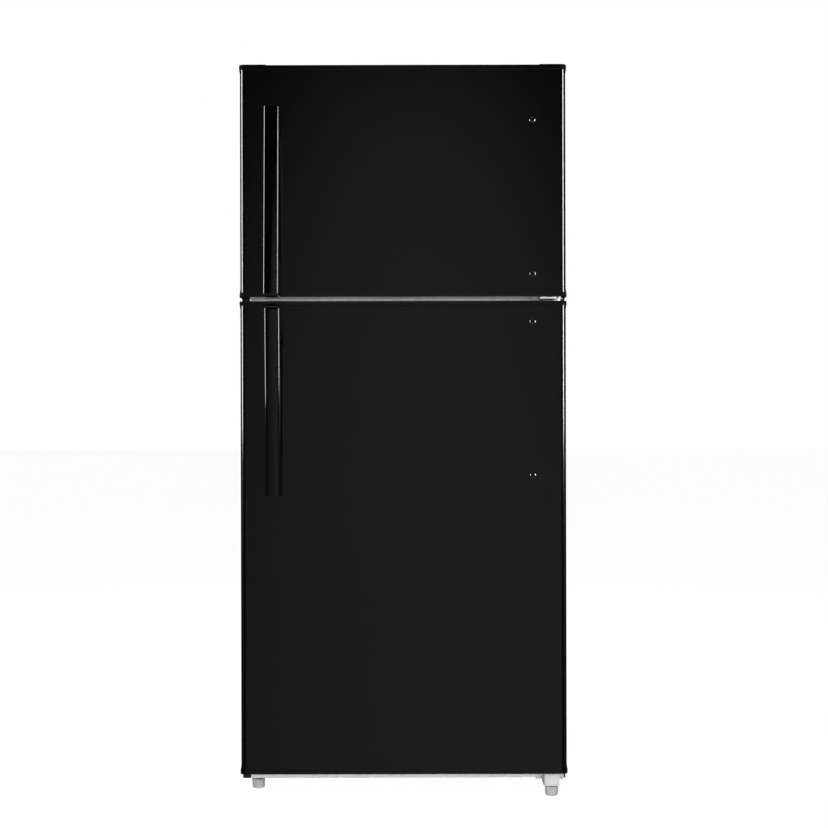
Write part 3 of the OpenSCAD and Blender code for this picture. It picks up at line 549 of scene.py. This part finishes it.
def levelling_foot(node):
    """Moulded foot with shallow flutes and a rounded sole, in one piece with its stud."""
    low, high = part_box(node)
    x, y = (low.x + high.x) / 2, (low.y + high.y) / 2
    r, h = (high.x - low.x) / 2, 0.024
    stud = 0.005

    def flutes(t, z):
        """Twelve shallow grooves that stop short of the sole and of the rim."""
        depth = 0.0 if z < 0.004 or z > h - 0.001 else 0.045
        return 1.0 - depth * (0.5 + 0.5 * math.cos(12 * t)) ** 3

    bm = bmesh.new()
    profile = [(0, 0.0), (r - 0.0055, 0.0), (r - 0.0035, 0.0004), (r - 0.0022, 0.0014), (r - 0.0017, 0.0028),
               (r - 0.0015, 0.0045), (r - 0.0007, h - 0.0060), (r - 0.0002, h - 0.0020), (r, h - 0.0009),
               (r - 0.0004, h - 0.0002), (r - 0.0012, h), (r - 0.0030, h), (r - 0.0036, h - 0.0008),
               (0.0085, h - 0.0008), (0.0078, h), (stud, h), (stud, high.z), (0, high.z)]
    turned(bm, profile, (x, y, low.z), "Z", 96, flutes)
    return finish_node(node, bm)


for door in ("freezer_door", "fridge_door"):
    door_skin(door + "_skin")
    refinish(plug_domes(door + "_plugs"), PLUG_PLASTIC)
    bellows_seal(door + "_seal")
bow_handle("freezer_handle", 1, 0.009, 0.005, 0.069, 0.046)
bow_handle("fridge_handle", -1, 0.015, 0.012, 0.054, 0.058)
for node in ("left_foot", "right_foot"):
    levelling_foot(node)
for node in ("freezer_door_top_cap", "freezer_door_bottom_cap",
             "fridge_door_top_cap", "fridge_door_bottom_cap"):
    refinish(soften(node, 0.0014, 3), CAP_PLASTIC)
for node in ("middle_hinge", "bottom_hinge", "top_hinge"):
    soften(node, 0.0007, 3)
soften("hinge_screws", 0.0004, 2)
soften("divider_rail", 0.0005, 2)
soften("bottom_rail", 0.0005, 2)


# ---------------------------------------------------------------- inside and back

def large(e):
    """True for the long inner corners between two large walls."""
    return e.calc_length() > 0.2 and min(f.calc_area() for f in e.link_faces) > 0.03


def clear_of_hump(e):
    """The same, but leaves out the corners along the top of the hump."""
    heights = [v.co.z for v in e.verts]
    return large(e) and not all(0.255 < z < 0.30 for z in heights)


soften("freezer_liner", 0.0006, 2, inside=0.010, wanted=large)
soften("fridge_liner", 0.0006, 2, inside=0.010, wanted=clear_of_hump)
for node in ("freezer_door_liner", "fridge_door_liner"):
    soften(node, 0.0008, 2, inside=0.004, wanted=lambda e: e.calc_length() > 0.2)
for node in ("freezer_upper_bin", "freezer_lower_bin", "fridge_upper_bin", "fridge_middle_bin",
             "fridge_lower_bin", "left_crisper", "right_crisper"):
    soften(node, 0.0012, 3, inside=0.004, wanted=lambda e: e.calc_length() > 0.04)
for node in ("evaporator_cover", "control_housing", "air_duct", "lamp_lens"):
    soften(node, 0.0015, 3)
for node in ("upper_shelf_glass", "middle_shelf_glass", "crisper_cover_glass"):
    soften(node, 0.0009, 3)
soften("shelf_trims", 0.0010, 3)
soften("temperature_knob", 0.0006, 3)
refinish(soften("cabinet_shell", 0.0005, 2), TEXTURED_STEEL)
soften("back_panel", 0.0005, 2)
soften("bottom_panel", 0.0004, 2)
soften("machine_cover", 0.0004, 2)
soften("top_hinge_cover", 0.0009, 3)
for node in ("compressor_base", "drip_tray", "roller_brackets", "cord_gland", "hinge_hole_plugs"):
    soften(node, 0.0004, 2)
for node in ("left_roller", "right_roller"):
    soften(node, 0.0010, 3)


# ---------------------------------------------------------------- camera, lights, floor

def make_camera():
    """Almost square to the doors, a little right of the middle and hardly tilted."""
    data = bpy.data.cameras.new("camera")
    data.sensor_width = 36.0
    data.lens = 57.408696
    data.clip_end = 100
    cam = bpy.data.objects.new("camera", data)
    bpy.context.scene.collection.objects.link(cam)
    place = Matrix.Translation((0.0244, DOOR_FRONT - 3.0, 0.877))
    tilt = Matrix.Rotation(math.radians(0.13), 4, "Y")
    cam.matrix_world = place @ tilt @ Matrix.Rotation(math.pi / 2, 4, "X")
    bpy.context.scene.camera = cam


def area_light(name, place, aim, size, watts, mirrored=True, diffuse=True):
    """A rectangular lamp that the doors mirror, that lights things up, or both."""
    data = bpy.data.lights.new(name, "AREA")
    data.shape = "RECTANGLE"
    data.size, data.size_y = size
    data.energy = watts
    light = bpy.data.objects.new(name, data)
    bpy.context.scene.collection.objects.link(light)
    light.location = place
    light.rotation_euler = (Vector(aim) - Vector(place)).to_track_quat("-Z", "Y").to_euler()
    light.visible_camera = False
    light.visible_glossy = mirrored
    light.visible_diffuse = diffuse


def make_world():
    """White behind the object; a mostly dark studio with one grey panel in front of it."""
    world = bpy.data.worlds.new("studio")
    bpy.context.scene.world = world
    world.use_nodes = True
    tree = world.node_tree
    tree.nodes.clear()

    def new(kind, **settings):
        node = tree.nodes.new(kind)
        for key, value in settings.items():
            setattr(node, key, value)
        return node

    def math_node(op, a, b=None, c=None):
        node = new("ShaderNodeMath", operation=op)
        for i, value in enumerate((a, b, c)):
            if value is None:
                continue
            if isinstance(value, (int, float)):
                node.inputs[i].default_value = value
            else:
                tree.links.new(value, node.inputs[i])
        return node.outputs[0]

    def step(value, low, high):
        node = new("ShaderNodeMapRange", interpolation_type="SMOOTHSTEP")
        tree.links.new(value, node.inputs["Value"])
        node.inputs["From Min"].default_value = low
        node.inputs["From Max"].default_value = high
        return node.outputs["Result"]

    coords = new("ShaderNodeTexCoord")
    parts = new("ShaderNodeSeparateXYZ")
    tree.links.new(coords.outputs["Generated"], parts.inputs[0])
    x, y, z = parts.outputs
    down = math_node("MULTIPLY", z, -1.0)
    out_front = math_node("MULTIPLY", y, -1.0)
    out_side = math_node("ABSOLUTE", x)

    # The grey panel that the doors mirror, as a range of directions in front of them; it narrows upwards.
    ahead = math_node("MAXIMUM", out_front, 0.02)
    rise = math_node("DIVIDE", z, ahead)
    slant = math_node("DIVIDE", x, ahead)
    limit = math_node("MULTIPLY_ADD", rise, -0.37, 0.1648)
    sides = step(math_node("SUBTRACT", limit, math_node("ABSOLUTE", slant)), -0.012, 0.02)
    top = step(math_node("SUBTRACT", 0.285, rise), -0.008, 0.05)
    panel = math_node("MULTIPLY", sides, top)
    panel_level = math_node("MULTIPLY_ADD", step(slant, -0.16, -0.05), 0.125, 0.16)

    # Glows behind the object, beside it, below it, and low down on both sides.
    behind = step(y, 0.55, 0.95)
    flank = math_node("MULTIPLY", step(out_side, 0.84, 0.94), step(out_front, 0.15, 0.35))
    below = step(down, 0.42, 0.62)
    skirt = math_node("MULTIPLY", step(out_side, 0.3, 0.62), step(down, 0.22, 0.6))
    level = math_node("MULTIPLY_ADD", behind, 0.05, 0.004)
    for glow, strength in ((flank, 0.5), (panel, panel_level), (below, 0.1), (skirt, 0.2)):
        level = math_node("MULTIPLY_ADD", glow, strength, level)

    path = new("ShaderNodeLightPath")
    seen = new("ShaderNodeBackground")
    seen.inputs["Color"].default_value = (1, 1, 1, 1)
    unseen = new("ShaderNodeBackground")
    tree.links.new(level, unseen.inputs["Color"])
    mix = new("ShaderNodeMixShader")
    tree.links.new(path.outputs["Is Camera Ray"], mix.inputs[0])
    tree.links.new(unseen.outputs[0], mix.inputs[1])
    tree.links.new(seen.outputs[0], mix.inputs[2])
    out = new("ShaderNodeOutputWorld")
    tree.links.new(mix.outputs[0], out.inputs[0])


def make_floor():
    """White to the camera with a faint shadow, grey to other surfaces, absent from reflections."""
    bm = bmesh.new()
    bmesh.ops.create_grid(bm, x_segments=1, y_segments=1, size=30)
    mesh = bpy.data.meshes.new("floor")
    bm.to_mesh(mesh)
    bm.free()
    floor = bpy.data.objects.new("floor", mesh)
    bpy.context.scene.collection.objects.link(floor)
    mat = bpy.data.materials.new("floor")
    mat.use_nodes = True
    tree = mat.node_tree
    bsdf = tree.nodes["Principled BSDF"]
    bsdf.inputs["Base Color"].default_value = (0.42, 0.42, 0.42, 1)
    bsdf.inputs["Roughness"].default_value = 0.9
    bsdf.inputs["Specular IOR Level"].default_value = 0.0
    glow = tree.nodes.new("ShaderNodeEmission")
    glow.inputs["Strength"].default_value = 0.97
    path = tree.nodes.new("ShaderNodeLightPath")
    white = tree.nodes.new("ShaderNodeAddShader")
    soft = tree.nodes.new("ShaderNodeBsdfDiffuse")
    soft.inputs["Color"].default_value = (0.08, 0.08, 0.08, 1)
    tree.links.new(glow.outputs[0], white.inputs[0])
    tree.links.new(soft.outputs[0], white.inputs[1])
    clear_floor = tree.nodes.new("ShaderNodeBsdfTransparent")
    unseen = tree.nodes.new("ShaderNodeMixShader")
    tree.links.new(path.outputs["Is Glossy Ray"], unseen.inputs[0])
    tree.links.new(bsdf.outputs[0], unseen.inputs[1])
    tree.links.new(clear_floor.outputs[0], unseen.inputs[2])
    mix = tree.nodes.new("ShaderNodeMixShader")
    tree.links.new(path.outputs["Is Camera Ray"], mix.inputs[0])
    tree.links.new(unseen.outputs[0], mix.inputs[1])
    tree.links.new(white.outputs[0], mix.inputs[2])
    tree.links.new(mix.outputs[0], tree.nodes["Material Output"].inputs[0])
    floor.data.materials.append(mat)


make_camera()
make_world()
make_floor()

# Two strips and a weak lamp overhead draw the highlights on the rounded edges.
area_light("strip_left", (-2.04, -0.84, 1.60), (-0.37, -0.33, 1.55), (0.62, 1.6), 68, diffuse=False)
area_light("strip_right", (2.215, -1.374, 1.60), (0.37, -0.33, 1.55), (0.48, 1.6), 98, diffuse=False)
area_light("overhead", (0.0, -0.9, 3.2), (0, -0.2, 1.2), (2.4, 1.4), 5)
# Fills that light everything but are not mirrored.
area_light("top_fill", (0.0, 0.2, 3.4), (0, 0.1, 1.2), (2.4, 2.0), 45, mirrored=False)
area_light("front_fill", (0.0, -3.4, 1.0), (0, 0, 0.9), (2.0, 1.8), 126, mirrored=False)
area_light("rear_left", (-2.8, 1.5, 1.8), (0, 0.3, 0.9), (1.2, 1.6), 70, mirrored=False)
area_light("rear_right", (2.0, 2.6, 2.0), (0, 0.3, 0.9), (1.6, 1.6), 25, mirrored=False)

scene = bpy.context.scene
scene.view_settings.view_transform = "Standard"
scene.view_settings.look = "None"
